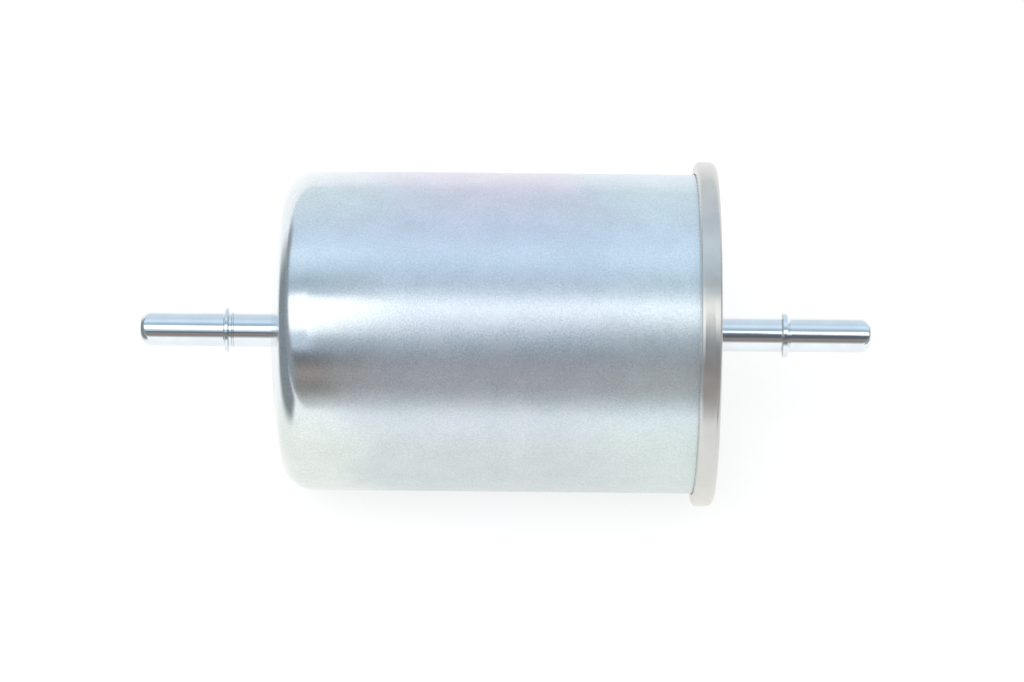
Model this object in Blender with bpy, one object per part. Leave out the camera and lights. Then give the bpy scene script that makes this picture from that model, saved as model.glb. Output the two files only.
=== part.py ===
"""In-line fuel filter: a deep-drawn steel can with a seamed cover, two quick-connect spigots
and a spring-loaded pleated element. The filter's axis is X; the inlet is at -X, the outlet at +X.
The origin is on the axis, midway between the tips of the two spigots."""

import math

import bmesh
import bpy
from mathutils import Matrix, Vector

MM = 0.001
GAP = 0.25 * MM  # between pieces that touch on the real filter
BEND_SHARE = 0.48  # most of a straight that one bend may take

# Shell
SHELL_LENGTH = 102.5 * MM  # top of the can's dome to the top of the seam
CAN_RADIUS = 37.0 * MM
CAN_WALL = 0.8 * MM
CROWN_RADIUS = 172.0 * MM  # the shallow dome
KNUCKLE_RADIUS = 7.5 * MM  # the rounded corner between dome and wall

# Seam and cover
SEAM_OVERHANG = 2.9 * MM  # how far the seam stands out from the can
SEAM_WIDTH = 4.85 * MM
SEAM_BEND = 0.85 * MM  # bend radius at the middle of the sheet
COVER_SHEET = 0.8 * MM
COVER_RECESS = 4.6 * MM  # seam's top down to the cover's panel
COVER_BEND = 1.2 * MM
PANEL_RIB_RADIUS = 22.0 * MM  # middle of the stiffening rib
PANEL_RIB_WIDTH = 8.0 * MM
PANEL_RIB_HEIGHT = 1.4 * MM
STIFFENER_RADIUS = 11.5 * MM
STIFFENER_SHEET = 1.0 * MM

# Spigots
SPIGOT_RADIUS = 3.95 * MM
SPIGOT_WALL = 0.9 * MM
NOSE_RADIUS = 2.5 * MM  # the lead-in, rolled inwards
MOUTH_RADIUS = 1.9 * MM
NOSE_FLAT = 0.4 * MM  # width of the flat ring round the mouth
BEAD_HEIGHT = 1.3 * MM
BEAD_FROM_TIP = 20.0 * MM
BEAD_CREST = 0.6 * MM
BEAD_LEAD_IN = 0.9 * MM  # sloping flank, towards the tip
BEAD_SHOULDER_BEND = 0.3 * MM  # the steep flank, where a connector latches
INLET_REACH = 30.4 * MM  # from the dome to the inlet's tip
OUTLET_REACH = 36.4 * MM  # from the seam's top to the outlet's tip
INLET_TUBE_INSIDE = 4.2 * MM
NECK_LENGTH = 3.0 * MM  # of the plunged hole that holds a tube
NECK_BEND = 1.2 * MM
BRAZE_SIZE = 1.2 * MM

# Inlet deflector and spring
DEFLECTOR_SHEET = 0.8 * MM
DEFLECTOR_CROWN_RADIUS = 8.0 * MM
DEFLECTOR_FLANGE_RADIUS = 17.0 * MM
DEFLECTOR_STANDOFF = 3.6 * MM  # from the tube's inner end to the deflector
DEFLECTOR_WINDOWS = 6
DEFLECTOR_WINDOW_RADIUS = 1.7 * MM
SPRING_LENGTH = 12.0 * MM  # as fitted
SPRING_WIRE = 1.2 * MM
SPRING_COIL_RADIUS = 13.6 * MM
SPRING_ACTIVE_TURNS = 2.2
SPRING_CLOSED_TURNS = 1.0  # at each end
GUIDE_SHEET = 0.6 * MM
GUIDE_HEIGHT = 2.4 * MM

# Element
FLOW_ANNULUS = 2.6 * MM  # between the element's end caps and the can
END_CAP_SHEET = 0.6 * MM
END_CAP_SKIRT = 4.6 * MM
END_CAP_BEND = 0.9 * MM
ADHESIVE_DEPTH = 2.0 * MM
CLOSED_CAP_DIMPLE = 1.6 * MM
CORE_RADIUS = 12.5 * MM
CORE_WALL = 0.6 * MM
CORE_HOLE_RADIUS = 1.2 * MM
CORE_HOLE_ROWS = 5
CORE_HOLES_PER_ROW = 6
STRAINER_WALL = 0.4 * MM
PLEATS = 36
MEDIA_WALL = 0.6 * MM
FOLD_HALF_WIDTH = 0.5 * MM  # of a pleat's fold, at the middle of the paper
SEAM_CLIP_SHEET = 0.4 * MM
SEAM_CLIP_DEPTH = 4.5 * MM

# Outlet seal and support plate
ELEMENT_TRAVEL = 2.5 * MM  # towards the inlet, against the spring
COLLAR_DEPTH = 3.2 * MM  # of the open end cap's collar
GROMMET_WALL = 3.6 * MM
GROMMET_FLANGE = 1.5 * MM
GROMMET_FLANGE_WIDTH = 4.0 * MM
GROMMET_LIP = 0.9 * MM
SEAL_OVERLAP = 0.5 * MM  # of the outlet tube past the seal, at full travel
SUPPORT_SHEET = 0.8 * MM
SUPPORT_STEP = 3.6 * MM  # from the cover down to the element
SUPPORT_RIM_WIDTH = 5.4 * MM  # flat against the cover
SUPPORT_FOOT_WIDTH = 5.0 * MM  # flat against the element
SUPPORT_SKIRT = 5.5 * MM
SUPPORT_WINDOWS = 6
SUPPORT_WINDOW_RADIUS = 1.5 * MM

# Facets
SHELL_SEGMENTS = 40
ELEMENT_SEGMENTS = 36
TUBE_SEGMENTS = 24

# Places along the axis
TIP_X = (INLET_REACH + SHELL_LENGTH + OUTLET_REACH) / 2
DOME_X = -TIP_X + INLET_REACH
SEAM_TOP_X = DOME_X + SHELL_LENGTH
PANEL_X = SEAM_TOP_X - COVER_RECESS  # the panel's outer face
PANEL_INSIDE_X = PANEL_X - COVER_SHEET
CAN_BORE = CAN_RADIUS - CAN_WALL
SEAM_RADIUS = CAN_RADIUS + SEAM_OVERHANG
CHUCK_RADIUS = CAN_BORE - GAP  # outside of the cover's plug
NECK_BORE = SPIGOT_RADIUS + GAP


def dome_inside_x(radius):
    """Where the inner surface of the crown is, at this distance from the axis."""
    return DOME_X + CROWN_RADIUS - math.sqrt((CROWN_RADIUS - CAN_WALL) ** 2 - radius**2)


INLET_TUBE_END_X = DOME_X + INLET_TUBE_INSIDE
DEFLECTOR_FLANGE_X = dome_inside_x(DEFLECTOR_FLANGE_RADIUS) + GAP
DEFLECTOR_CROWN_X = INLET_TUBE_END_X + DEFLECTOR_STANDOFF
SPRING_START_X = DEFLECTOR_FLANGE_X + DEFLECTOR_SHEET + GAP
SPRING_END_X = SPRING_START_X + SPRING_LENGTH
GUIDE_X = SPRING_END_X + GAP
CLOSED_CAP_X = GUIDE_X + GUIDE_SHEET + GAP
MEDIA_START_X = CLOSED_CAP_X + END_CAP_SHEET + GAP + ADHESIVE_DEPTH + GAP
SUPPORT_X = PANEL_INSIDE_X - GAP  # the plate's face against the cover
OPEN_CAP_X = SUPPORT_X - SUPPORT_SHEET - SUPPORT_STEP - GAP  # the cap's outer face
MEDIA_END_X = OPEN_CAP_X - END_CAP_SHEET - GAP - ADHESIVE_DEPTH - GAP
END_CAP_RADIUS = CAN_BORE - FLOW_ANNULUS
MEDIA_RADIUS = END_CAP_RADIUS - END_CAP_SHEET - GAP
MEDIA_BORE = CORE_RADIUS + GAP + STRAINER_WALL + GAP
COLLAR_BORE = NECK_BORE + GROMMET_WALL + GAP
SEAL_END_X = OPEN_CAP_X - COLLAR_DEPTH - GAP - GROMMET_LIP
OUTLET_TUBE_END_X = SEAL_END_X - ELEMENT_TRAVEL - SEAL_OVERLAP

# Name: colour, metallic, roughness
FINISHES = {
    "zinc_plate": ((0.74, 0.78, 0.83), 1.0, 0.32),
    "bright_zinc": ((0.80, 0.83, 0.86), 1.0, 0.12),
    "yellow_zinc": ((0.72, 0.69, 0.62), 1.0, 0.30),
    "braze": ((0.72, 0.55, 0.38), 1.0, 0.40),
    "tinplate": ((0.72, 0.72, 0.70), 1.0, 0.28),
    "spring_steel": ((0.42, 0.43, 0.45), 1.0, 0.35),
    "filter_paper": ((0.80, 0.70, 0.48), 0.0, 0.90),
    "plastisol": ((0.80, 0.35, 0.12), 0.0, 0.55),
    "nitrile": ((0.03, 0.03, 0.03), 0.0, 0.60),
    "brass_mesh": ((0.70, 0.56, 0.30), 1.0, 0.45),
}


def material(finish):
    found = bpy.data.materials.get(finish)
    if found:
        return found
    colour, metallic, roughness = FINISHES[finish]
    made = bpy.data.materials.new(finish)
    made.use_nodes = True
    shader = made.node_tree.nodes["Principled BSDF"]
    shader.inputs["Base Color"].default_value = (*colour, 1.0)
    shader.inputs["Metallic"].default_value = metallic
    shader.inputs["Roughness"].default_value = roughness
    return made


def add_object(name, shape, finish):
    """Makes the named object from a bmesh, smooth except at its sharp edges."""
    bmesh.ops.recalc_face_normals(shape, faces=shape.faces)
    mesh = bpy.data.meshes.new(name)
    shape.to_mesh(mesh)
    shape.free()
    mesh.shade_smooth()
    mesh.set_sharp_from_angle(angle=math.radians(35))
    mesh.materials.append(material(finish))
    made = bpy.data.objects.new(name, mesh)
    bpy.context.scene.collection.objects.link(made)
    return made


def arc(centre, radius, start, end, steps):
    """Points on a circle round centre, in the plane of (along the axis, away from it)."""
    angles = [math.radians(start + (end - start) * i / steps) for i in range(steps + 1)]
    return [centre + radius * Vector((math.cos(a), math.sin(a))) for a in angles]


def bent(corners, radius, steps=1):
    """The line through the corners with each one rounded, by less where its sides are short."""
    corners = [Vector(c) for c in corners]
    line = [corners[0]]
    for before, corner, after in zip(corners, corners[1:], corners[2:]):
        back, ahead = (before - corner), (after - corner)
        half = back.angle(ahead) / 2
        room = BEND_SHARE * min(back.length, ahead.length)
        trim = min(radius / math.tan(half), room)
        rounded = trim * math.tan(half)
        centre = corner + (back.normalized() + ahead.normalized()).normalized() * rounded / math.sin(half)
        first = corner + back.normalized() * trim - centre
        last = corner + ahead.normalized() * trim - centre
        turn = first.angle_signed(last)
        for i in range(steps + 1):
            line.append(centre + Matrix.Rotation(-turn * i / steps, 2) @ first)
    line.append(corners[-1])
    return line


def sheet(line, thickness):
    """Outline of a strip of sheet metal whose middle follows the line."""
    one_side, other_side = [], []
    for i, point in enumerate(line):
        back = (point - line[max(i - 1, 0)]).normalized()
        ahead = (line[min(i + 1, len(line) - 1)] - point).normalized()
        along = (back + ahead).normalized()
        across = Vector((-along.y, along.x))
        mitre = thickness / 2 / max(along.dot(ahead), along.dot(back))
        one_side.append(point + across * mitre)
        other_side.append(point - across * mitre)
    return one_side + other_side[::-1]


def turned(name, outline, finish, segments):
    """Spins an outline of (x, radius) points round the axis. One that starts and ends on the axis is left open there."""
    shape = bmesh.new()
    points = [shape.verts.new((x, 0, radius)) for x, radius in outline]
    ends_on_axis = outline[0][1] < 1e-7 and outline[-1][1] < 1e-7
    pairs = list(zip(points, points[1:]))
    if not ends_on_axis:
        pairs.append((points[-1], points[0]))
    edges = [shape.edges.new(pair) for pair in pairs]
    bmesh.ops.spin(
        shape,
        geom=points + edges,
        cent=(0, 0, 0),
        axis=(1, 0, 0),
        angle=2 * math.pi,
        steps=segments,
        use_merge=True,
    )
    bmesh.ops.remove_doubles(shape, verts=shape.verts, dist=1e-7)
    return add_object(name, shape, finish)


def cut(target, cutters):
    """Cuts each cutter's shape out of the target."""
    for cutter in cutters:
        cutter.hide_render = True
        cutter.display_type = "WIRE"
        boolean = target.modifiers.new(cutter.name, "BOOLEAN")
        boolean.operation = "DIFFERENCE"
        boolean.object = cutter


def radial_drill(name, x, angle, radius, near, far, sides=8):
    """A cutter that runs outwards from the axis, between two distances from it."""
    shape = bmesh.new()
    along = Matrix.Rotation(angle, 4, "X")
    middle = along @ Vector((0, 0, (near + far) / 2)) + Vector((x, 0, 0))
    bmesh.ops.create_cone(
        shape,
        cap_ends=True,
        segments=sides,
        radius1=radius,
        radius2=radius,
        depth=far - near,
        matrix=Matrix.Translation(middle) @ along,
    )
    return add_object(name, shape, "bright_zinc")


def ring(name, x0, x1, inner, outer, finish, segments, bevel=0.0):
    """A plain ring, with its outer corners taken off where a bevel is given."""
    corners = [(x0, inner), (x0, outer - bevel), (x0 + bevel, outer), (x1 - bevel, outer)]
    corners += [(x1, outer - bevel), (x1, inner)]
    if not bevel:
        corners = [(x0, inner), (x0, outer), (x1, outer), (x1, inner)]
    return turned(name, [Vector(c) for c in corners], finish, segments)


# ---- Shell ----


def dome_line():
    """The middle of the sheet from the crown's centre out to the wall."""
    crown = CROWN_RADIUS - CAN_WALL / 2
    knuckle = KNUCKLE_RADIUS - CAN_WALL / 2
    reach = CAN_RADIUS - KNUCKLE_RADIUS
    meet = math.asin(reach / (CROWN_RADIUS - KNUCKLE_RADIUS))
    crown_centre = Vector((DOME_X + CROWN_RADIUS, 0))
    knuckle_centre = crown_centre + Vector((-math.cos(meet), math.sin(meet))) * (CROWN_RADIUS - KNUCKLE_RADIUS)
    meet_angle = 180 - math.degrees(meet)
    neck_angle = 180 - math.degrees(math.asin((NECK_BORE + CAN_WALL / 2 + 2 * NECK_BEND) / crown))
    return arc(crown_centre, crown, neck_angle, meet_angle, 3) + arc(knuckle_centre, knuckle, meet_angle, 90, 5)[1:]


def make_housing_can():
    neck = NECK_BORE + CAN_WALL / 2
    dome = dome_line()
    neck_line = bent([(DOME_X + NECK_LENGTH, neck), (dome[0].x, neck), dome[0]], NECK_BEND, 2)
    flange_x = SEAM_TOP_X - SEAM_WIDTH + COVER_SHEET + GAP + CAN_WALL / 2
    wall = CAN_RADIUS - CAN_WALL / 2
    flange_end = SEAM_RADIUS - COVER_SHEET - GAP
    flange = bent([dome[-1], (flange_x, wall), (flange_x, flange_end)], CAN_WALL * 0.8, 2)
    line = neck_line + dome[1:] + flange[1:]
    return turned("housing_can", sheet(line, CAN_WALL), "zinc_plate", SHELL_SEGMENTS)


def make_cover():
    half = COVER_SHEET / 2
    panel = PANEL_X - half
    collar = NECK_BORE + half
    rib_in = PANEL_RIB_RADIUS - PANEL_RIB_WIDTH / 2
    rib_out = PANEL_RIB_RADIUS + PANEL_RIB_WIDTH / 2
    plug = CHUCK_RADIUS - half
    plug_middle = SEAM_TOP_X - COVER_RECESS / 2
    rib_slope = PANEL_RIB_HEIGHT
    collar_bend = bent([(panel + NECK_LENGTH, collar), (panel, collar), (panel, rib_in)], COVER_BEND, 2)
    rib = bent(
        [
            (panel, collar),
            (panel, rib_in),
            (panel + PANEL_RIB_HEIGHT, rib_in + rib_slope),
            (panel + PANEL_RIB_HEIGHT, rib_out - rib_slope),
            (panel, rib_out),
            (panel, plug),
        ],
        COVER_BEND,
    )
    plug_bend = bent([(panel, rib_out), (panel, plug), (plug_middle, plug)], COVER_BEND, 2)
    hem = bent(
        [
            (plug_middle, plug),
            (SEAM_TOP_X - half, plug),
            (SEAM_TOP_X - half, SEAM_RADIUS - half),
            (SEAM_TOP_X - SEAM_WIDTH + half, SEAM_RADIUS - half),
            (SEAM_TOP_X - SEAM_WIDTH + half, CAN_RADIUS + GAP),
        ],
        SEAM_BEND,
        2,
    )
    line = collar_bend[:-1] + rib[1:-1] + plug_bend[1:-1] + hem[1:]
    return turned("cover", sheet(line, COVER_SHEET), "yellow_zinc", SHELL_SEGMENTS)


def make_seam_gasket():
    flange_top = SEAM_TOP_X - SEAM_WIDTH + COVER_SHEET + GAP + CAN_WALL
    outer = SEAM_RADIUS - COVER_SHEET - GAP
    top = SEAM_TOP_X - COVER_SHEET - GAP
    corner = min(SEAM_BEND, (top - flange_top - GAP) / 2)
    return ring("seam_gasket", flange_top + GAP, top, CHUCK_RADIUS + GAP, outer, "nitrile", SHELL_SEGMENTS, corner / 2)


def make_cover_stiffener():
    x1 = PANEL_INSIDE_X - GAP
    inner = NECK_BORE + COVER_BEND
    return ring("cover_stiffener", x1 - STIFFENER_SHEET, x1, inner, STIFFENER_RADIUS, "zinc_plate", TUBE_SEGMENTS)


# ---- Spigots ----


def spigot_outline(tip, inner_end, towards):
    """Outline of a beaded tube. towards is -1 where the tip points at -X and 1 where it points at +X."""
    bore = SPIGOT_RADIUS - SPIGOT_WALL
    crest = SPIGOT_RADIUS + BEAD_HEIGHT
    bead = tip - towards * BEAD_FROM_TIP

    def at(from_tip, radius):
        return Vector((tip - towards * from_tip, radius))

    def by_bead(offset, radius):
        return Vector((bead + towards * offset, radius))

    nose = []
    rim = MOUTH_RADIUS + NOSE_FLAT
    centre = SPIGOT_RADIUS - NOSE_RADIUS
    lost = NOSE_RADIUS - math.sqrt(NOSE_RADIUS**2 - (rim - centre) ** 2)
    steps = 4
    rim_angle = math.asin((rim - centre) / NOSE_RADIUS)
    for i in range(steps + 1):
        angle = rim_angle + (math.pi / 2 - rim_angle) * i / steps
        nose.append(at(NOSE_RADIUS * (1 - math.cos(angle)) - lost, centre + NOSE_RADIUS * math.sin(angle)))
    inner_nose = [at(NOSE_RADIUS, bore), at(SPIGOT_WALL, MOUTH_RADIUS)]
    bead_flanks = [
        by_bead(BEAD_CREST / 2 + BEAD_LEAD_IN, SPIGOT_RADIUS),
        by_bead(BEAD_CREST / 2 + BEAD_LEAD_IN / 3, crest - BEAD_HEIGHT / 4),
        by_bead(BEAD_CREST / 2, crest),
        by_bead(-BEAD_CREST / 2, crest),
        by_bead(-BEAD_CREST / 2 - BEAD_SHOULDER_BEND, crest - BEAD_SHOULDER_BEND),
        by_bead(-BEAD_CREST / 2 - BEAD_SHOULDER_BEND, SPIGOT_RADIUS),
    ]
    chamfer = SPIGOT_WALL / 3
    far_end = [
        Vector((inner_end + towards * chamfer, SPIGOT_RADIUS)),
        Vector((inner_end, SPIGOT_RADIUS - chamfer)),
        Vector((inner_end, bore)),
    ]
    return [at(0, MOUTH_RADIUS)] + nose + bead_flanks + far_end + inner_nose


def make_inlet_tube():
    return turned("inlet_tube", spigot_outline(-TIP_X, INLET_TUBE_END_X, -1), "bright_zinc", TUBE_SEGMENTS)


def make_outlet_tube():
    return turned("outlet_tube", spigot_outline(TIP_X, OUTLET_TUBE_END_X, 1), "bright_zinc", TUBE_SEGMENTS)


def make_inlet_braze():
    """A fillet in the groove where the can bends in towards the tube."""
    centre = Vector((DOME_X + CAN_WALL / 2 + NECK_BEND, NECK_BORE + CAN_WALL / 2 + NECK_BEND))
    against_can = arc(centre, NECK_BEND + CAN_WALL / 2 + GAP, 190, 232, 3)
    outline = against_can + [
        Vector((against_can[-1].x, NECK_BORE)),
        Vector((against_can[0].x, NECK_BORE)),
    ]
    return turned("inlet_braze", outline, "braze", TUBE_SEGMENTS)


def make_outlet_braze():
    """A fillet on the end of the cover's collar."""
    x = PANEL_X - COVER_SHEET / 2 + NECK_LENGTH + GAP
    outline = [(x, NECK_BORE), (x, NECK_BORE + COVER_SHEET), (x + BRAZE_SIZE / 3, NECK_BORE + COVER_SHEET * 0.7)]
    outline += [(x + BRAZE_SIZE, NECK_BORE + COVER_SHEET * 0.2), (x + BRAZE_SIZE, NECK_BORE)]
    return turned("outlet_braze", [Vector(c) for c in outline], "braze", TUBE_SEGMENTS)


# ---- Deflector, spring and guide ----


def make_inlet_deflector():
    half = DEFLECTOR_SHEET / 2
    flange = DEFLECTOR_FLANGE_X + half
    crown = DEFLECTOR_CROWN_X + half
    line = bent(
        [
            (crown, 0),
            (crown, DEFLECTOR_CROWN_RADIUS - half),
            (flange, DEFLECTOR_CROWN_RADIUS - half),
            (flange, DEFLECTOR_FLANGE_RADIUS),
        ],
        DEFLECTOR_SHEET,
    )
    deflector = turned("inlet_deflector", sheet(line, DEFLECTOR_SHEET), "tinplate", TUBE_SEGMENTS)
    window_x = (flange + crown) / 2
    window = min(DEFLECTOR_WINDOW_RADIUS, (crown - flange) * 0.3)
    cutters = [
        radial_drill(
            f"deflector_window_{i}",
            window_x,
            2 * math.pi * (i + 0.5) / DEFLECTOR_WINDOWS,
            window,
            DEFLECTOR_CROWN_RADIUS / 2,
            DEFLECTOR_CROWN_RADIUS + 2 * DEFLECTOR_SHEET,
        )
        for i in range(DEFLECTOR_WINDOWS)
    ]
    cut(deflector, cutters)


def make_element_spring():
    """A helix whose end coils lie nearly flat. The radius of each coil is the same."""
    turns = SPRING_ACTIVE_TURNS + 2 * SPRING_CLOSED_TURNS
    closed_pitch = SPRING_WIRE + GAP
    rise = SPRING_LENGTH - SPRING_WIRE - 2 * SPRING_CLOSED_TURNS * closed_pitch
    active_pitch = rise / SPRING_ACTIVE_TURNS
    steps_per_turn = 20
    count = round(turns * steps_per_turn)
    points = []
    for i in range(count + 1):
        turn = turns * i / count
        in_first = min(turn, SPRING_CLOSED_TURNS)
        in_last = max(turn - SPRING_CLOSED_TURNS - SPRING_ACTIVE_TURNS, 0)
        in_middle = turn - in_first - in_last
        x = SPRING_START_X + SPRING_WIRE / 2 + (in_first + in_last) * closed_pitch + in_middle * active_pitch
        angle = 2 * math.pi * turn
        points.append((x, SPRING_COIL_RADIUS * math.sin(angle), SPRING_COIL_RADIUS * math.cos(angle)))
    curve = bpy.data.curves.new("element_spring", "CURVE")
    curve.dimensions = "3D"
    curve.bevel_depth = SPRING_WIRE / 2
    curve.bevel_resolution = 1
    curve.use_fill_caps = True
    spline = curve.splines.new("POLY")
    spline.points.add(len(points) - 1)
    for target, point in zip(spline.points, points):
        target.co = (*point, 1)
    curve.materials.append(material("spring_steel"))
    made = bpy.data.objects.new("element_spring", curve)
    bpy.context.scene.collection.objects.link(made)
    return made


def make_spring_guide():
    """A shallow hat inside the spring's last coil, with its brim under that coil."""
    half = GUIDE_SHEET / 2
    brim = GUIDE_X + half
    crown_radius = SPRING_COIL_RADIUS - SPRING_WIRE / 2 - 2 * GAP - half
    brim_radius = SPRING_COIL_RADIUS + SPRING_WIRE / 2 + 2 * GAP
    line = bent(
        [
            (brim - GUIDE_HEIGHT, crown_radius / 2),
            (brim - GUIDE_HEIGHT, crown_radius),
            (brim, crown_radius),
            (brim, brim_radius),
        ],
        GUIDE_SHEET,
    )
    return turned("spring_guide", sheet(line, GUIDE_SHEET), "tinplate", TUBE_SEGMENTS)


# ---- Element ----


def make_closed_end_cap():
    half = END_CAP_SHEET / 2
    face = CLOSED_CAP_X + half
    dimple_radius = CORE_RADIUS - CORE_WALL - GAP - half - CLOSED_CAP_DIMPLE / 2
    line = bent(
        [
            (face + CLOSED_CAP_DIMPLE, 0),
            (face + CLOSED_CAP_DIMPLE, dimple_radius),
            (face, dimple_radius + CLOSED_CAP_DIMPLE / 2),
            (face, END_CAP_RADIUS - half),
            (face + END_CAP_SKIRT, END_CAP_RADIUS - half),
        ],
        END_CAP_BEND,
    )
    return turned("closed_end_cap", sheet(line, END_CAP_SHEET), "tinplate", ELEMENT_SEGMENTS)


def make_open_end_cap():
    half = END_CAP_SHEET / 2
    face = OPEN_CAP_X - half
    line = bent(
        [
            (OPEN_CAP_X - COLLAR_DEPTH, COLLAR_BORE + half),
            (face, COLLAR_BORE + half),
            (face, END_CAP_RADIUS - half),
            (face - END_CAP_SKIRT, END_CAP_RADIUS - half),
        ],
        END_CAP_BEND,
    )
    return turned("open_end_cap", sheet(line, END_CAP_SHEET), "tinplate", ELEMENT_SEGMENTS)


def make_adhesive(name, x0):
    corner = END_CAP_BEND
    inner = CORE_RADIUS - CORE_WALL
    return ring(name, x0, x0 + ADHESIVE_DEPTH, inner, MEDIA_RADIUS - GAP, "plastisol", ELEMENT_SEGMENTS, corner / 2)


def make_core_tube():
    core = ring(
        "core_tube", MEDIA_START_X, MEDIA_END_X, CORE_RADIUS - CORE_WALL, CORE_RADIUS, "tinplate", TUBE_SEGMENTS
    )
    pitch = (MEDIA_END_X - MEDIA_START_X) / CORE_HOLE_ROWS
    facet = 2 * math.pi / TUBE_SEGMENTS
    facets_apart = TUBE_SEGMENTS // CORE_HOLES_PER_ROW
    cutters = []
    for row in range(CORE_HOLE_ROWS):
        for hole in range(CORE_HOLES_PER_ROW):
            stagger = (row % 2) * (facets_apart // 2)
            cutters.append(
                radial_drill(
                    f"core_hole_{row}_{hole}",
                    MEDIA_START_X + (row + 0.5) * pitch,
                    facet * (hole * facets_apart + stagger + 0.5),
                    CORE_HOLE_RADIUS,
                    CORE_RADIUS / 2,
                    CORE_RADIUS + CORE_WALL,
                    6,
                )
            )
    cut(core, cutters)


def make_strainer_sleeve():
    inner = CORE_RADIUS + GAP
    return ring(
        "strainer_sleeve", MEDIA_START_X, MEDIA_END_X, inner, inner + STRAINER_WALL, "brass_mesh", TUBE_SEGMENTS
    )


def pleat_line():
    """The middle of the paper, in the plane across the axis, from one cut edge round to the other.
    The first and last legs stand side by side at the top, where the clip holds them."""
    inner = MEDIA_BORE + MEDIA_WALL / 2
    outer = MEDIA_RADIUS - MEDIA_WALL / 2 - SEAM_CLIP_SHEET - GAP
    step = 2 * math.pi / PLEATS

    def beside(radius, angle, sideways):
        radial = Vector((math.sin(angle), math.cos(angle)))
        return radial * radius + Vector((radial.y, -radial.x)) * sideways

    line = [beside(outer, 0, FOLD_HALF_WIDTH)]
    for pleat in range(PLEATS):
        valley = (pleat + 0.5) * step
        line += [beside(inner, valley, -FOLD_HALF_WIDTH), beside(inner, valley, FOLD_HALF_WIDTH)]
        if pleat < PLEATS - 1:
            ridge = (pleat + 1) * step
            line += [beside(outer, ridge, -FOLD_HALF_WIDTH), beside(outer, ridge, FOLD_HALF_WIDTH)]
    line.append(beside(outer, 0, -FOLD_HALF_WIDTH))
    return line


def extruded(name, outline, x0, x1, finish):
    """Extrudes along the axis a strip given as its outline: one side, then the other side back."""
    shape = bmesh.new()
    points = [shape.verts.new((x0, y, z)) for y, z in outline]
    half = len(points) // 2
    back = points[half:][::-1]
    faces = [shape.faces.new((points[i], points[i + 1], back[i + 1], back[i])) for i in range(half - 1)]
    grown = bmesh.ops.extrude_face_region(shape, geom=faces)["geom"]
    moved = [g for g in grown if isinstance(g, bmesh.types.BMVert)]
    bmesh.ops.translate(shape, vec=(x1 - x0, 0, 0), verts=moved)
    return add_object(name, shape, finish)


def make_pleated_media():
    outline = sheet(pleat_line(), MEDIA_WALL)
    return extruded("pleated_media", outline, MEDIA_START_X, MEDIA_END_X, "filter_paper")


def make_media_seam_clip():
    """A folded strip over the paper's two cut edges, along the whole element."""
    top = MEDIA_RADIUS - SEAM_CLIP_SHEET / 2
    arm = FOLD_HALF_WIDTH + MEDIA_WALL / 2 + 2 * GAP + SEAM_CLIP_SHEET / 2
    line = bent([(-arm, top - SEAM_CLIP_DEPTH), (-arm, top), (arm, top), (arm, top - SEAM_CLIP_DEPTH)], SEAM_CLIP_SHEET)
    outline = sheet(line, SEAM_CLIP_SHEET)
    return extruded("media_seam_clip", outline, MEDIA_START_X, MEDIA_END_X, "tinplate")


def make_outlet_grommet():
    """A spool of rubber: its flange sits on the open end cap and its lip snaps in behind the collar."""
    inner = NECK_BORE
    neck = COLLAR_BORE - GAP
    outline = [
        (SEAL_END_X, inner),
        (SEAL_END_X, neck),
        (SEAL_END_X + GROMMET_LIP / 2, neck + GROMMET_LIP),
        (SEAL_END_X + GROMMET_LIP, neck + GROMMET_LIP),
        (SEAL_END_X + GROMMET_LIP, neck),
        (OPEN_CAP_X + GAP, neck),
        (OPEN_CAP_X + GAP, neck + GROMMET_FLANGE_WIDTH),
        (OPEN_CAP_X + GAP + GROMMET_FLANGE * 0.6, neck + GROMMET_FLANGE_WIDTH),
        (OPEN_CAP_X + GAP + GROMMET_FLANGE, neck + GROMMET_FLANGE_WIDTH * 0.8),
        (OPEN_CAP_X + GAP + GROMMET_FLANGE, inner),
    ]
    return turned("outlet_grommet", [Vector(c) for c in outline], "nitrile", TUBE_SEGMENTS)


def make_support_plate():
    """A cup round the open end cap, whose foot stands on the cap and whose rim stands on the cover."""
    half = SUPPORT_SHEET / 2
    rim = SUPPORT_X - half
    foot = OPEN_CAP_X + GAP + half
    skirt = END_CAP_RADIUS + 2 * GAP + half
    foot_end = skirt - SUPPORT_RIM_WIDTH - (rim - foot)
    line = bent(
        [
            (rim - SUPPORT_SKIRT, skirt),
            (rim, skirt),
            (rim, foot_end + (rim - foot)),
            (foot, foot_end),
            (foot, foot_end - SUPPORT_FOOT_WIDTH),
        ],
        SUPPORT_SHEET,
    )
    plate = turned("support_plate", sheet(line, SUPPORT_SHEET), "tinplate", ELEMENT_SEGMENTS)
    cutters = []
    for i in range(SUPPORT_WINDOWS):
        shape = bmesh.new()
        angle = 2 * math.pi * (i + 0.5) / SUPPORT_WINDOWS
        away = foot_end + (rim - foot) / 2
        middle = Vector(((rim + foot) / 2, away * math.sin(angle), away * math.cos(angle)))
        bmesh.ops.create_cone(
            shape,
            cap_ends=True,
            segments=8,
            radius1=SUPPORT_WINDOW_RADIUS,
            radius2=SUPPORT_WINDOW_RADIUS,
            depth=3 * (rim - foot),
            matrix=Matrix.Translation(middle) @ Matrix.Rotation(math.pi / 2, 4, "Y"),
        )
        cutters.append(add_object(f"support_window_{i}", shape, "bright_zinc"))
    cut(plate, cutters)


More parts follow.
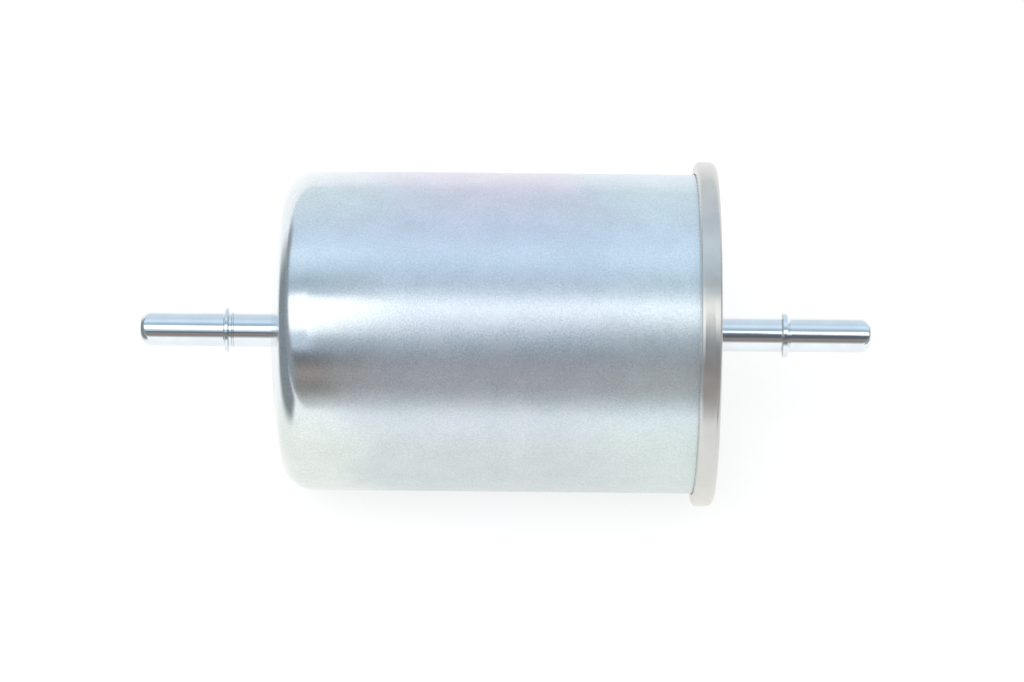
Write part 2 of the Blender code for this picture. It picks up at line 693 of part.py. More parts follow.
def main():
    for old in list(bpy.data.objects):
        bpy.data.objects.remove(old)
    make_housing_can()
    make_cover()
    make_seam_gasket()
    make_cover_stiffener()
    make_inlet_tube()
    make_outlet_tube()
    make_inlet_braze()
    make_outlet_braze()
    make_inlet_deflector()
    make_element_spring()
    make_spring_guide()
    make_closed_end_cap()
    make_open_end_cap()
    make_adhesive("closed_end_adhesive", CLOSED_CAP_X + END_CAP_SHEET + GAP)
    make_adhesive("open_end_adhesive", MEDIA_END_X + GAP)
    make_core_tube()
    make_strainer_sleeve()
    make_pleated_media()
    make_media_seam_clip()
    make_outlet_grommet()
    make_support_plate()


main()
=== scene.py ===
import math

import bpy
from mathutils import Matrix, Vector


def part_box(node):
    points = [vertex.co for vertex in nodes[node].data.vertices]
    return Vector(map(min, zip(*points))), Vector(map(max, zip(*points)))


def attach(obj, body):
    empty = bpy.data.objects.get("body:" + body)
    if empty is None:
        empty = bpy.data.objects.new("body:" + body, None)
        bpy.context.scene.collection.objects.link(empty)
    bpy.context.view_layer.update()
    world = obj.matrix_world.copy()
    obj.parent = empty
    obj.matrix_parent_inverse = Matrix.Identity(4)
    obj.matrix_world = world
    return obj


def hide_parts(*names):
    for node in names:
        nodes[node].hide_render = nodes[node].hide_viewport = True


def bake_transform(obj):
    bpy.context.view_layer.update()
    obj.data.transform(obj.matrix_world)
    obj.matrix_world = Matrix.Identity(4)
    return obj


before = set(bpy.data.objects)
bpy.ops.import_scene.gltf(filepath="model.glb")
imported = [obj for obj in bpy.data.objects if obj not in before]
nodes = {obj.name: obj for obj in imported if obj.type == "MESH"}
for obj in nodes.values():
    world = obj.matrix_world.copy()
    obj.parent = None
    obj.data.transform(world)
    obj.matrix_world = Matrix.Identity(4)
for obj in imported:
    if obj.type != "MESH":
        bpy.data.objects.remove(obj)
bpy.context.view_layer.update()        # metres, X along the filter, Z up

mm = 0.001
print("frame loaded,", len(nodes), "pieces")


# Shader maths: sums on a Value add the Math nodes for it
class Value:
    def __init__(self, finish, socket):
        self.finish = finish
        self.socket = socket

    def sum(self, operation, *terms):
        return self.finish.node("ShaderNodeMath", {"operation": operation}, dict(enumerate(terms)))

    def __add__(self, other):
        return self.sum("ADD", self, other)

    def __radd__(self, other):
        return self.sum("ADD", other, self)

    def __sub__(self, other):
        return self.sum("SUBTRACT", self, other)

    def __rsub__(self, other):
        return self.sum("SUBTRACT", other, self)

    def __mul__(self, other):
        return self.sum("MULTIPLY", self, other)

    def __rmul__(self, other):
        return self.sum("MULTIPLY", other, self)

    def __truediv__(self, other):
        return self.sum("DIVIDE", self, other)


class Finish:
    def __init__(self, name):
        self.material = bpy.data.materials.new(name)
        self.material.use_nodes = True
        self.tree = self.material.node_tree
        self.tree.nodes.clear()
        self.place = self.node("ShaderNodeTexCoord", output="Object")

    def node(self, kind, settings=None, inputs=None, output=0):
        made = self.tree.nodes.new(kind)
        for key, value in (settings or {}).items():
            if key == "stops":
                self.setStops(made.color_ramp, value)
            elif key == "interpolation":
                made.color_ramp.interpolation = value
            else:
                setattr(made, key, value)
        for key, value in (inputs or {}).items():
            if isinstance(value, Value):
                self.tree.links.new(value.socket, made.inputs[key])
            else:
                made.inputs[key].default_value = value
        return Value(self, made.outputs[output]) if made.outputs else None

    def setStops(self, ramp, stops):
        while len(ramp.elements) < len(stops):
            ramp.elements.new(1.0)
        for element, (position, colour) in zip(ramp.elements, stops):
            element.position = position
            element.color = (*colour, 1)

    def axis(self, name, vector=None):
        place = {0: vector or self.place}
        return self.node("ShaderNodeSeparateXYZ", {}, place, output="XYZ".index(name))

    def noise(self, size, detail=2, roughness=0.5, stretch=(1, 1, 1), offset=(0, 0, 0)):
        # size is of one blotch, in mm
        spread = tuple(s / (size * mm) for s in stretch)
        inputs = {"Vector": self.place, "Scale": spread, "Location": offset}
        moved = self.node("ShaderNodeMapping", {}, inputs)
        inputs = {"Vector": moved, "Scale": 1, "Detail": detail, "Roughness": roughness}
        return self.node("ShaderNodeTexNoise", {}, inputs)

    def rise(self, value, low, high, bottom=0, top=1):
        # a soft step from bottom to top as value goes from low to high
        settings = {"interpolation_type": "SMOOTHSTEP"}
        ends = {"Value": value, "From Min": low, "From Max": high, "To Min": bottom, "To Max": top}
        return self.node("ShaderNodeMapRange", settings, ends)

    def blend(self, factor, first, second, how="MIX"):
        def filled(colour):
            return colour if isinstance(colour, Value) else (*colour, 1)

        settings = {"data_type": "RGBA", "blend_type": how}
        inputs = {0: factor, 6: filled(first), 7: filled(second)}
        return self.node("ShaderNodeMix", settings, inputs, output=2)

    def scaled(self, colour, factor):
        settings = {"operation": "SCALE"}
        return self.node("ShaderNodeVectorMath", settings, {0: colour, "Scale": factor})

    def ramp(self, value, stops, how="LINEAR"):
        return self.node("ShaderNodeValToRGB", {"stops": stops, "interpolation": how}, {0: value})

    def bump(self, height, depth, normal=None):
        # depth in mm is how far the surface moves as height goes from 0 to 1
        inputs = {"Height": height, "Strength": 1, "Distance": depth * mm}
        if normal:
            inputs["Normal"] = normal
        return self.node("ShaderNodeBump", {}, inputs)

    def surface(self, **inputs):
        sockets = {name.replace("_", " "): value for name, value in inputs.items()}
        made = self.node("ShaderNodeBsdfPrincipled", {}, sockets)
        self.node("ShaderNodeOutputMaterial", {}, {"Surface": made})
        return self.material


# Mesh code: turned pieces are a line of (x, radius) points, in mm, spun round X
def arc(x, r, radius, start, end, steps):
    angles = [math.radians(start + (end - start) * i / steps) for i in range(steps + 1)]
    return [Vector((x + radius * math.cos(a), r + radius * math.sin(a))) for a in angles]


def rounded(corners, steps=10, lead=0.04):
    # corners are (x, radius, bend); the short lead beside each bend keeps the straights flat
    line = []
    for i, (x, r, bend) in enumerate(corners):
        here = Vector((x, r))
        if not bend or i in (0, len(corners) - 1):
            line.append(here)
            continue
        back = (Vector(corners[i - 1][:2]) - here).normalized()
        ahead = (Vector(corners[i + 1][:2]) - here).normalized()
        half = back.angle(ahead) / 2
        reach = bend / math.tan(half)
        centre = here + (back + ahead).normalized() * bend / math.sin(half)
        first = here + back * reach - centre
        turn = first.angle_signed(here + ahead * reach - centre)
        line.append(here + back * (reach + lead))
        line += [centre + Matrix.Rotation(-turn * k / steps, 2) @ first for k in range(steps + 1)]
        line.append(here + ahead * (reach + lead))
    return line


def sheet(line, thickness):
    # both faces of a strip of sheet metal, on the left of the line as it runs
    far = []
    for i, point in enumerate(line):
        along = (line[min(i + 1, len(line) - 1)] - line[max(i - 1, 0)]).normalized()
        far.append(point + Vector((-along.y, along.x)) * thickness)
    return line + far[::-1]


def evened(line, gap):
    # adds points so that no straight is longer than gap
    out = [line[0]]
    for point in line[1:]:
        parts = max(1, math.ceil((point - out[-1]).length / gap))
        start = out[-1]
        out += [start.lerp(point, k / parts) for k in range(1, parts + 1)]
    return out


def turned(name, outline, finish, body, replaced, steps, shape=None, sharp=40):
    # the outline is a closed line round the cut metal
    count = len(outline)
    points = []
    for k in range(steps):
        angle = 2 * math.pi * k / steps
        for x, r in outline:
            if shape:
                r = r + shape(x, r, angle)
            points.append((x * mm, -r * mm * math.cos(angle), r * mm * math.sin(angle)))
    faces = []
    for k in range(steps):
        here, there = k * count, (k + 1) % steps * count
        for i in range(count):
            j = (i + 1) % count
            faces.append((here + i, here + j, there + j, there + i))
    mesh = bpy.data.meshes.new(name)
    mesh.from_pydata(points, [], faces)
    following = outline[1:] + outline[:1]
    # a line that runs anticlockwise would turn the faces inwards
    if sum(a[0] * b[1] - b[0] * a[1] for a, b in zip(outline, following)) > 0:
        mesh.flip_normals()
    mesh.polygons.foreach_set("use_smooth", [True] * len(faces))
    mesh.set_sharp_from_angle(angle=math.radians(sharp))
    mesh.materials.append(finish)
    piece = bpy.data.objects.new(name, mesh)
    bpy.context.scene.collection.objects.link(piece)
    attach(piece, body)
    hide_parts(replaced)
    return piece


def extent(node):
    # ends along X and the greatest radius, in mm
    low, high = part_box(node)
    return low.x / mm, high.x / mm, high.z / mm


# Camera
view = {
    "elevation": 55,        # degrees above the floor
    "roll": 0.56,
    "distance": 0.87,
    "lens": 131.7,
    "aimAlong": 0.00145,
    "aimDown": 0.00202,
}


def makeCamera():
    tip = math.radians(view["elevation"])
    roll = math.radians(view["roll"])
    away = Vector((0, -math.cos(tip), math.sin(tip)))
    up = Vector((0, math.sin(tip), math.cos(tip)))
    along = Vector((1, 0, 0))
    right = along * math.cos(roll) + up * math.sin(roll)
    top = up * math.cos(roll) - along * math.sin(roll)
    camera = bpy.data.objects.new("camera", bpy.data.cameras.new("camera"))
    bpy.context.scene.collection.objects.link(camera)
    turn = Matrix((right, top, away)).transposed().to_4x4()
    aim = along * view["aimAlong"] - up * view["aimDown"]
    camera.matrix_world = Matrix.Translation(aim + away * view["distance"]) @ turn
    camera.data.lens = view["lens"]
    camera.data.sensor_width = 36
    camera.data.clip_start = 0.01
    camera.data.clip_end = 50
    bpy.context.scene.camera = camera


makeCamera()
bpy.context.scene.view_settings.view_transform = "Standard"
print("camera set")

# Studio: a pale floor, a soft lamp, and a tent that only shows in the metal
studio = {
    "world": (0.97, 0.985, 1.0),
    "worldStrength": 1.0,
    "floorSize": 12.0,
    "floorGlow": 0.72,
    "floorPaint": (0.93, 0.94, 0.95),
    "tentRadius": 1.5,
    "lampPower": 9,
    "tentGlow": 1.2,
    "keyGlow": 1.6,
    "keyTop": 78.0,            # degrees above the near edge of the floor
    "keyEdge": 2.2,
    "restRadius": 37.0,        # of the can, where it rests on the floor, in mm
    "restFromEnd": 10,         # from the can's far end, in mm
    "seamRest": 2,             # from the seam's end, in mm
    "flagGap": 0.0032,         # between the floor and a dark cloth
    "leftCloth": (0.25, 0.275, 0.30),
    "rightCloth": (0.34, 0.36, 0.37),
}


def onlyInMetal(obj):
    obj.visible_camera = False
    obj.visible_diffuse = False
    obj.visible_transmission = False
    obj.visible_volume_scatter = False
    obj.visible_shadow = False


def stageMesh(name, points, faces, material):
    mesh = bpy.data.meshes.new(name)
    mesh.from_pydata(points, [], faces)
    mesh.materials.append(material)
    obj = bpy.data.objects.new(name, mesh)
    bpy.context.scene.collection.objects.link(obj)
    return obj


def floorHeight(x):
    # the filter lies on its seam and on the far end of its can
    seamEnd, seamRadius = extent("cover")[1:]
    seamRest = seamEnd - studio["seamRest"]
    canRest = extent("housing_can")[0] + studio["restFromEnd"]
    slope = (seamRadius - studio["restRadius"]) / (seamRest - canRest)
    return (-seamRadius + (seamRest - x / mm) * slope) * mm


def makeFloor():
    half = studio["floorSize"] / 2
    finish = Finish("floorPaper")
    grain = finish.noise(1.2, 4, 0.6)
    fleck = tuple(c * 0.985 for c in studio["floorPaint"])
    paint = finish.blend(grain, fleck, studio["floorPaint"])
    diffuse = finish.node("ShaderNodeBsdfDiffuse", {}, {"Color": paint})
    shine = finish.node("ShaderNodeEmission", {}, {"Color": (1, 1, 1, 1), "Strength": 1.02})
    both = finish.node("ShaderNodeMixShader", {}, {0: studio["floorGlow"], 1: diffuse, 2: shine})
    finish.node("ShaderNodeOutputMaterial", {}, {"Surface": both})

    corners = ((-half, -half), (half, -half), (half, half), (-half, half))
    points = [(x, y, floorHeight(x)) for x, y in corners]
    stageMesh("floor", points, [(0, 1, 2, 3)], finish.material)


def makeTent():
    finish = Finish("tentGlow")
    lift = math.radians(view["elevation"])
    toward = (0, -math.cos(lift), math.sin(lift))
    over = (0, math.sin(lift), math.cos(lift))
    direction = finish.node("ShaderNodeVectorMath", {"operation": "NORMALIZE"}, {0: finish.place})
    dot = {"operation": "DOT_PRODUCT"}
    side = finish.node("ShaderNodeVectorMath", dot, {0: direction, 1: over}, output=1)
    front = finish.node("ShaderNodeVectorMath", dot, {0: direction, 1: toward}, output=1)
    x = finish.axis("X")
    # degrees round the filter: 0 is the floor's near edge, 90 straight up, 180 the far edge
    half = finish.node("ShaderNodeMath", {"operation": "ARCTANGENT"}, {0: side / (front + 1.0001)})
    around = half * (360 / math.pi) + view["elevation"]
    cloth = finish.ramp(
        around / 180,
        [
            (0.0, (0.56, 0.57, 0.565)),
            (0.028, (0.45, 0.45, 0.44)),
            (0.05, (0.31, 0.30, 0.285)),
            (0.08, (0.20, 0.185, 0.18)),
            (0.11, (0.26, 0.225, 0.21)),
            (0.14, (0.30, 0.26, 0.245)),
            (0.175, (0.18, 0.165, 0.165)),
            (0.21, (0.115, 0.12, 0.135)),
            (0.255, (0.10, 0.11, 0.13)),
            (0.30, (0.12, 0.15, 0.18)),
            (0.37, (0.16, 0.20, 0.24)),
            (0.42, (0.34, 0.42, 0.48)),
            (0.47, (0.40, 0.49, 0.56)),
            (0.50, (0.36, 0.45, 0.53)),
            (0.54, (0.49, 0.61, 0.72)),
            (0.59, (0.63, 0.76, 0.88)),
            (0.625, (0.67, 0.80, 0.93)),
            (0.66, (0.61, 0.73, 0.86)),
            (0.72, (0.56, 0.66, 0.78)),
            (0.77, (0.58, 0.67, 0.77)),
            (0.84, (0.62, 0.70, 0.77)),
            (0.92, (0.64, 0.72, 0.77)),
            (1.0, (0.66, 0.74, 0.77)),
        ],
    )
    # the key light: a bright strip, and a dimmer one below it whose lower edge is not level
    along = x / 0.6 + 0.5
    dimEdges = [
        (0.0, 0.41), (0.17, 0.41), (0.28, 0.40), (0.38, 0.51), (0.50, 0.59), (0.56, 0.715),
        (0.64, 0.75), (0.70, 0.75), (0.82, 0.56), (1.0, 0.54),
    ]
    brightEdges = [
        (0.0, 0.54), (0.28, 0.50), (0.40, 0.60), (0.50, 0.67), (0.70, 0.67), (0.85, 0.58),
    ]
    dimEdge, brightEdge = [
        finish.ramp(along, [(at, (edge,) * 3) for at, edge in edges], "EASE") * 100
        for edges in (dimEdges, brightEdges)
    ]
    above = around - finish.rise(x, -0.05, -0.3, 0, 2.2) - studio["keyTop"]
    top = 1 - finish.rise(above, -studio["keyEdge"], studio["keyEdge"])
    dim = finish.rise(around - dimEdge, -4, 4) * top
    bright = finish.rise(around - brightEdge, -3, 5) * top
    # a dark cloth stands at the left, and shows as a streak round the end of the can
    low = 1 - finish.rise(finish.axis("Z"), 0.25, 0.55)
    standing = finish.rise(x, -0.95, -1.2) * low * finish.rise(around, 4, 14)
    cloth = finish.blend(standing, cloth, studio["leftCloth"])
    colour = finish.blend(dim * (1 - standing), cloth, (0.52, 0.60, 0.69))
    bright = bright * (1 - standing)
    colour = finish.blend(bright, colour, (1.0, 1.0, 1.0))
    glows = {0: bright, 2: studio["tentGlow"], 3: studio["keyGlow"]}
    strength = finish.node("ShaderNodeMix", {"data_type": "FLOAT"}, glows)
    made = finish.node("ShaderNodeEmission", {}, {"Color": colour, "Strength": strength})
    finish.node("ShaderNodeOutputMaterial", {}, {"Surface": made})
    rings, spokes, radius = 48, 96, studio["tentRadius"]
    points, faces = [], []
    for i in range(rings + 1):
        tilt = math.pi * (i + 0.5) / (rings + 1)
        for k in range(spokes):
            turn = 2 * math.pi * k / spokes
            side = radius * math.sin(tilt)
            points.append((-radius * math.cos(tilt), side * math.cos(turn), side * math.sin(turn)))
    for i in range(rings):
        for k in range(spokes):
            here, there = i * spokes + k, i * spokes + (k + 1) % spokes
            faces.append((here, there, there + spokes, here + spokes))
    faces.append(tuple(range(spokes)))
    faces.append(tuple(rings * spokes + k for k in reversed(range(spokes))))
    tent = stageMesh("tent", points, faces, finish.material)
    onlyInMetal(tent)


def makeFlag(name, xs, colour):
    # a dark fan-shaped cloth that lies beside the filter, with soft edges
    finish = Finish(name + "Cloth")
    away = finish.node("ShaderNodeMath", {"operation": "ABSOLUTE"}, {0: finish.axis("X")}) - 0.045
    lean = finish.axis("Y") / away
    near = min(abs(x) for x in xs)
    inside = finish.rise(away, near - 0.045, near)
    inside = inside * finish.rise(lean, -1.4, -0.9) * finish.rise(lean, 0.95, 0.4)
    ys = (-0.4, 1.2)
    shade = finish.node("ShaderNodeEmission", {}, {"Color": (*colour, 1), "Strength": 1.0})
    clear = finish.node("ShaderNodeBsdfTransparent")
    both = finish.node("ShaderNodeMixShader", {}, {0: inside, 1: clear, 2: shade})
    finish.node("ShaderNodeOutputMaterial", {}, {"Surface": both})
    corners = ((xs[0], ys[0]), (xs[1], ys[0]), (xs[1], ys[1]), (xs[0], ys[1]))
    points = [(x, y, floorHeight(x) + studio["flagGap"]) for x, y in corners]
    flag = stageMesh(name, points, [(0, 1, 2, 3)], finish.material)
    onlyInMetal(flag)


def makeLamp():
    lamp = bpy.data.objects.new("softLamp", bpy.data.lights.new("softLamp", "AREA"))
    bpy.context.scene.collection.objects.link(lamp)
    lamp.data.shape = "DISK"
    lamp.data.size = 0.9
    lamp.data.energy = studio["lampPower"]
    lamp.location = (-0.25, -0.45, 1.1)
    lamp.rotation_euler = (-lamp.location).to_track_quat("-Z", "Y").to_euler()
    lamp.visible_glossy = False


def makeWorld():
    world = bpy.data.worlds.new("studioAir")
    bpy.context.scene.world = world
    world.use_nodes = True
    shade = world.node_tree.nodes["Background"]
    shade.inputs["Color"].default_value = (*studio["world"], 1)
    shade.inputs["Strength"].default_value = studio["worldStrength"]


makeFloor()
makeTent()
makeFlag("leftFlag", (-1.4, -0.1), studio["leftCloth"])
makeFlag("rightFlag", (1.4, 0.16), studio["rightCloth"])
makeLamp()
makeWorld()
print("studio set")

# Plated can
can = {
    "wall": 0.8,
    "radius": 37.0,
    "crown": 172.0,
    "knuckle": 7.5,
    "neck": 4.2,
    "neckBend": 1.2,
    "neckLength": 3.0,
    "flangeFromEnd": 3.8,      # from the seam's end
    "flangeBend": 0.5,
    "roughness": 0.27,
    "domeRoughness": 0.15,
    "grainSize": 0.42,
    "grainDepth": 0.011,
    "middleTint": (0.605, 0.675, 0.745),
    "domeTint": (0.735, 0.79, 0.815),
    "endTint": (0.645, 0.73, 0.775),
    "lilacTint": (0.665, 0.63, 0.745),
    # painted reflection, darker and warmer on the lower side
    "underReflectionTint": (0.935, 0.925, 0.845),
}


def plateFinish():
    finish = Finish("canPlate")
    along = finish.axis("X") / mm
    back = finish.axis("Y") / (can["radius"] * mm)
    height = finish.axis("Z") / (can["radius"] * mm)
    clouds = finish.noise(24, 3, 0.55)
    fineClouds = finish.noise(7, 3, 0.6, (1, 1, 1), (3, 7, 1))
    grain = finish.noise(can["grainSize"], 2, 0.6)
    wander = (clouds - 0.5) * 26
    nearDome = 1 - finish.rise(along + wander, -44, -22)
    nearSeam = finish.rise(along + wander, 14, 34)
    # passivate tints: aqua at the two ends and lilac patches across the middle; the stronger lilac
    # on the far side is painted reflection of the lilac-grey room
    colour = finish.blend(nearSeam, can["middleTint"], can["endTint"])
    middle = finish.rise(along + wander, -40, -12) * (1 - finish.rise(along + wander, 6, 24))
    # painted reflection: lilac laid on the far side of the can
    farSideReflection = finish.rise(back, -0.15, 0.45)
    lilac = middle * (farSideReflection * 0.75 + finish.rise(fineClouds, 0.45, 0.7) * 0.2)
    colour = finish.blend(lilac, colour, can["lilacTint"])
    colour = finish.blend(nearDome, colour, can["domeTint"])
    # painted reflection: the lower side of the can is made darker and warmer, standing in for the
    # floor and brown shade it reflects
    colour = finish.blend(finish.rise(height, 0.6, 0.1), colour, can["underReflectionTint"], "MULTIPLY")
    speckle = finish.rise(grain, 0.3, 0.7, 0.93, 1.07)
    speckle = speckle * finish.rise(fineClouds, 0.3, 0.7, 0.97, 1.03)
    colour = finish.scaled(colour, speckle)
    smoother = can["roughness"] - can["domeRoughness"]
    roughness = can["roughness"] - nearDome * smoother + (fineClouds - 0.5) * 0.05
    grainHere = grain * (1 - nearDome * 0.8)
    normal = finish.bump(grainHere, can["grainDepth"])
    milky = 0.84 + nearDome * 0.14
    return finish.surface(Base_Color=colour, Metallic=milky, Roughness=roughness, Normal=normal)


def canLine():
    domeX, _, flange = extent("housing_can")
    # outer face, from the neck round the crown and knuckle to the flange under the seam
    crownRadius, radius, bend = can["crown"], can["radius"], can["knuckle"]
    meet = math.asin((radius - bend) / (crownRadius - bend))
    crownX = domeX + crownRadius
    knuckleX = crownX - math.cos(meet) * (crownRadius - bend)
    meetAngle = 180 - math.degrees(meet)
    start = math.asin((can["neck"] + can["neckBend"] * 1.4) / crownRadius)
    crown = arc(crownX, 0, crownRadius, 180 - math.degrees(start), meetAngle, 40)
    knuckle = arc(knuckleX, radius - bend, bend, meetAngle, 90, 24)[1:]
    flangeX = extent("cover")[1] - can["flangeFromEnd"]
    neckCorners = [
        (domeX + can["neckLength"], can["neck"], 0),
        (crown[0].x, can["neck"], can["neckBend"]),
        (crown[3].x, crown[3].y, 0),
    ]
    sideCorners = [
        (knuckle[-1].x, radius, 0),
        (flangeX, radius, can["flangeBend"]),
        (flangeX, flange, 0),
    ]
    side = rounded(sideCorners, 8)
    return rounded(neckCorners, 8) + crown[4:] + knuckle + evened(side[:2], 2.0)[1:] + side[2:]


def outOfRound(x, r, angle):
    # a drawn can is never quite round
    if r < 34:
        return 0
    swell = math.sin(2 * angle + 0.7) + 0.6 * math.sin(3 * angle + x / 14)
    return 0.012 * swell * min(1, (r - 34) / 3)


canSheet = sheet(canLine(), -can["wall"])
canShell = turned(
    "canShell", canSheet, plateFinish(), "housing", "housing_can", 256, outOfRound
)
print("can made,", len(canShell.data.polygons), "faces")

# Cover, hemmed over the can's flange
cover = {
    "sheet": 0.8,
    "width": 4.85,
    "recess": 4.6,
    "plug": 35.95,             # outer radius of the part inside the can
    "hem": 37.25,              # inner radius of the folded edge
    "neck": 4.2,
    "collar": 2.2,
    "edgeBend": 1.7,
    "lipBend": 1.0,
    "ribRadius": 22.0,
    "ribWidth": 8.0,
    "ribHeight": 1.4,
    "ribBend": 1.2,
    "roughness": 0.24,
    "tint": (0.60, 0.595, 0.575),
    # painted reflection, lighter and warmer low down
    "lowReflectionTint": (0.69, 0.675, 0.60),
    "scratchDepth": 0.003,
}


def seamFinish():
    finish = Finish("seamPlate")
    clouds = finish.noise(9, 3, 0.6)
    grain = finish.noise(0.45, 2, 0.6)
    height = finish.axis("Z") / mm
    # painted reflection: the lower part of the seam is made lighter and warmer, for the floor it
    # reflects, with a wandering edge
    lowReflection = finish.rise(height + (clouds - 0.5) * 20, 10, -22)
    colour = finish.blend(lowReflection, cover["tint"], cover["lowReflectionTint"])
    colour = finish.scaled(colour, finish.rise(clouds, 0.3, 0.7, 0.94, 1.05))
    rollerLines = finish.noise(0.16, 2, 0.5, (1, 0.02, 0.02))
    roughness = cover["roughness"] + (clouds - 0.5) * 0.1
    normal = finish.bump(grain + rollerLines, cover["scratchDepth"])
    return finish.surface(Base_Color=colour, Metallic=0.88, Roughness=roughness, Normal=normal)


def coverLine():
    end, radius = extent("cover")[1:]
    panel = end - cover["recess"]
    collar = cover["neck"] + cover["sheet"]
    wall = cover["plug"] - cover["sheet"]
    ribIn = cover["ribRadius"] - cover["ribWidth"] / 2
    ribOut = cover["ribRadius"] + cover["ribWidth"] / 2
    rise, bend = cover["ribHeight"], cover["ribBend"]
    corners = [
        (panel + cover["collar"], collar, 0),
        (panel, collar, 1.0),
        (panel, ribIn, bend),
        (panel + rise, ribIn + rise, bend),
        (panel + rise, ribOut - rise, bend),
        (panel, ribOut, bend),
        (panel, wall, 0.9),
        (end, wall, 1.1),
        (end, radius, cover["edgeBend"]),
        (end - cover["width"], radius, cover["lipBend"]),
        (end - cover["width"], cover["hem"], 0),
    ]
    return rounded(corners, 10)


coverSheet = sheet(coverLine(), cover["sheet"])
turned("coverSeam", coverSheet, seamFinish(), "housing", "cover", 256)
print("cover made")

# Spigots, each with a rolled nose and a bead for a quick connector
spigot = {
    "radius": 3.95,
    "wall": 0.9,
    "nose": 2.5,
    "mouth": 1.9,
    "beadHeight": 1.3,
    "beadFromTip": 20.0,
    "ridge": 0.28,
    "roughness": 0.06,
    "tint": (0.80, 0.855, 0.87),
    "cloudTint": (0.76, 0.80, 0.84),
}


def tubeFinish():
    finish = Finish("spigotPlate")
    clouds = finish.noise(6, 3, 0.6)
    drawn = finish.noise(0.2, 2, 0.5, (0.04, 1, 1))
    colour = finish.blend(finish.rise(clouds, 0.35, 0.7), spigot["tint"], spigot["cloudTint"])
    roughness = spigot["roughness"] + finish.rise(clouds, 0.4, 0.75, 0, 0.05)
    normal = finish.bump(drawn, 0.0006)
    normal = finish.bump(clouds, 0.006, normal)
    return finish.surface(Base_Color=colour, Metallic=1.0, Roughness=roughness, Normal=normal)


def spigotLine(tip, inner, towards, crest, leadIn, ridge):
    # towards is 1 where the tip points along +X, and -1 where it points the other way
    radius, noseBend, mouth = spigot["radius"], spigot["nose"], spigot["mouth"]
    bead = tip - towards * spigot["beadFromTip"]

    def fromTip(distance, r, bend=0):
        return (tip - towards * distance, r, bend)

    def byBead(offset, r, bend=0):
        return (bead + towards * offset, r, bend)

    nose = [fromTip(0, mouth), fromTip(0, mouth + 0.2)]
    for i in range(15):
        angle = math.radians(20 + 70 * i / 14)
        distance = noseBend * (1 - math.cos(angle)) - 0.15
        nose.append(fromTip(distance, radius - noseBend + noseBend * math.sin(angle)))
    top = radius + spigot["beadHeight"]
    outer = [
        (nose[-1][0], radius, 0),
        byBead(crest / 2 + leadIn, radius, 0.25),
        byBead(crest / 2 + 0.1, top, 0.28),
        byBead(-crest / 2 - 0.3, top, 0.28),
        byBead(-crest / 2 - 0.3, radius, 0.18),
    ]
    if ridge:
        ridgeTop = radius + spigot["ridge"]
        outer += [
            byBead(-1.15, radius, 0.12),
            byBead(-1.25, ridgeTop, 0.12),
            byBead(-1.55, ridgeTop, 0.12),
            byBead(-1.65, radius, 0.12),
        ]
    outer += [
        (inner + towards * 0.3, radius, 0.1),
        (inner, radius - 0.3, 0.1),
        (inner, radius - spigot["wall"], 0.1),
        fromTip(noseBend, radius - spigot["wall"], 0.5),
        fromTip(spigot["wall"], mouth, 0.3),
        fromTip(0, mouth),
    ]
    line = [Vector((x, r)) for x, r, bend in nose] + rounded(outer, 8, 0.02)[1:-1]
    return evened(line, 3.0)


tubePlate = tubeFinish()
inletStart, inletEnd = extent("inlet_tube")[:2]
outletStart, outletEnd = extent("outlet_tube")[:2]
inletLine = spigotLine(inletStart, inletEnd, -1, 0.35, 0.5, True)
outletLine = spigotLine(outletEnd, outletStart, 1, 0.75, 0.9, False)
turned("inletSpigot", inletLine, tubePlate, "housing", "inlet_tube", 128)
turned("outletSpigot", outletLine, tubePlate, "housing", "outlet_tube", 128)
print("spigots made")

# Brazed joints, plated over with the rest
fillet = {
    "tint": (0.74, 0.75, 0.73),
    "warmTint": (0.70, 0.62, 0.52),
    "roughness": 0.28,
    "lumps": 0.02,
    # (x, radius) lines, from the can's end and from the collar's end
    "inletLine": [
        (-0.1, 3.96), (0.02, 4.08), (0.2, 4.4), (0.3, 4.8), (0.32, 5.1),
        (0.3, 5.35), (0.75, 4.75), (1.6, 4.18), (1.6, 3.96),
    ],
    "outletLine": [
        (0, 3.96), (0, 4.98), (0.25, 4.9), (0.5, 4.62), (0.75, 4.3), (1.0, 4.08), (1.2, 3.96),
    ],
}


def filletFinish():
    finish = Finish("brazedJoint")
    lumps = finish.noise(1.6, 3, 0.6)
    colour = finish.blend(finish.rise(lumps, 0.45, 0.7), fillet["tint"], fillet["warmTint"])
    roughness = fillet["roughness"] + (lumps - 0.5) * 0.2
    normal = finish.bump(lumps, fillet["lumps"])
    return finish.surface(Base_Color=colour, Metallic=1.0, Roughness=roughness, Normal=normal)


jointPlate = filletFinish()
for side, startX in (("inlet", extent("housing_can")[0]), ("outlet", extent("outlet_braze")[0])):
    line = [Vector((startX + x, r)) for x, r in fillet[side + "Line"]]
    turned(side + "Fillet", line, jointPlate, "housing", side + "_braze", 96)
print("joints made")

# Pieces inside, which keep their own shape; the spring is shown by a copy of its own mesh
inside = {
    "tin": (0.72, 0.72, 0.70),
    "wire": (0.42, 0.43, 0.45),
    "springCoil": 2.4,      # mm of closed coil at each end
    "paper": (0.76, 0.60, 0.36),
    "paperShade": (0.66, 0.49, 0.27),
    "glue": (0.52, 0.21, 0.10),
    "glueShade": (0.364, 0.147, 0.07),
    "rubber": (0.035, 0.035, 0.037),
    "rubberShade": (0.021, 0.021, 0.0222),
    "cloth": (0.70, 0.58, 0.33),
    "weave": 0.35,          # mm between the strainer's threads
    "sleeveRadius": 12.9,
}


def metalFinish(name, tint, roughness, grainSize, depth):
    finish = Finish(name)
    clouds = finish.noise(8, 3, 0.6)
    grain = finish.noise(grainSize, 2, 0.6)
    colour = finish.blend(clouds, tuple(c * 0.88 for c in tint), tint)
    rough = roughness + (clouds - 0.5) * 0.14
    normal = finish.bump(grain, depth)
    return finish.surface(Base_Color=colour, Metallic=1.0, Roughness=rough, Normal=normal)


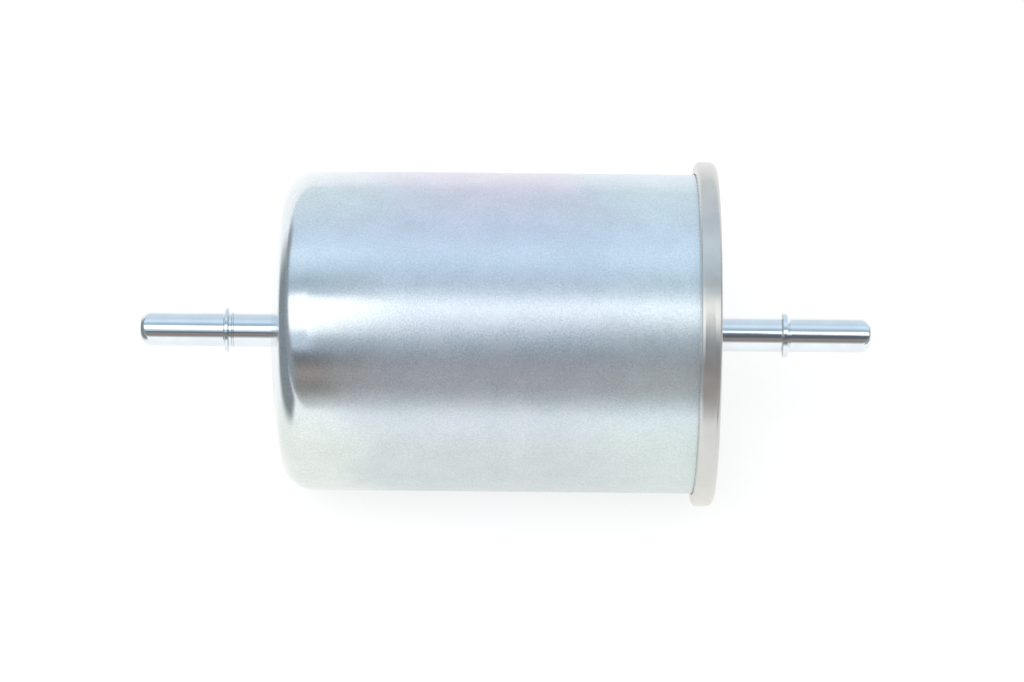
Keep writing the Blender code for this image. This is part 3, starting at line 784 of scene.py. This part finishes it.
def softFinish(name, tint, shade, roughness, grainSize, depth, stretch=(1, 1, 1)):
    finish = Finish(name)
    grain = finish.noise(grainSize, 4, 0.65, stretch)
    clouds = finish.noise(6, 3, 0.6)
    colour = finish.blend(finish.rise(grain * 0.6 + clouds * 0.4, 0.35, 0.65), shade, tint)
    rough = roughness + (grain - 0.5) * 0.2
    normal = finish.bump(grain, depth)
    return finish.surface(Base_Color=colour, Metallic=0.0, Roughness=rough, Normal=normal)


def strainerFinish():
    finish = Finish("strainerCloth")
    along = finish.axis("X") / (inside["weave"] * mm)
    angle = {0: finish.axis("Z"), 1: finish.axis("Y")}
    turn = finish.node("ShaderNodeMath", {"operation": "ARCTAN2"}, angle)
    around = turn * (inside["sleeveRadius"] / inside["weave"])
    threads = finish.node("ShaderNodeMath", {"operation": "SINE"}, {0: along * (2 * math.pi)})
    across = finish.node("ShaderNodeMath", {"operation": "SINE"}, {0: around * (2 * math.pi)})
    weave = threads * across * 0.5 + 0.5
    colour = finish.blend(weave, tuple(c * 0.45 for c in inside["cloth"]), inside["cloth"])
    rough = 0.42 + weave * 0.1
    normal = finish.bump(weave, 0.05)
    return finish.surface(Base_Color=colour, Metallic=0.7, Roughness=rough, Normal=normal)


def dress(material, *names):
    for name in names:
        for slot in nodes[name].material_slots:
            slot.material = material


def makeSpring():
    # shortens as the element slides; a copy of its mesh stands for the node
    spring = bpy.data.objects.new("spring", nodes["element_spring"].data.copy())
    bpy.context.scene.collection.objects.link(spring)
    spring.data.materials.clear()
    spring.data.materials.append(metalFinish("springWire", inside["wire"], 0.32, 0.3, 0.002))
    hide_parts("element_spring")
    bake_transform(spring)


tinplate = metalFinish("tinplate", inside["tin"], 0.3, 0.5, 0.003)
dress(tinplate, "closed_end_cap", "open_end_cap", "core_tube", "media_seam_clip")
dress(tinplate, "spring_guide", "support_plate", "inlet_deflector", "cover_stiffener")
makeSpring()
pleats = (0.4, 1, 1)
paper = softFinish("filterPaper", inside["paper"], inside["paperShade"], 0.88, 0.5, 0.03, pleats)
dress(paper, "pleated_media")
glue = softFinish("capGlue", inside["glue"], inside["glueShade"], 0.5, 1.4, 0.03)
dress(glue, "closed_end_adhesive", "open_end_adhesive")
rubber = softFinish("sealRubber", inside["rubber"], inside["rubberShade"], 0.55, 0.4, 0.01)
dress(rubber, "seam_gasket", "outlet_grommet")
dress(strainerFinish(), "strainer_sleeve")
print("inside pieces finished")
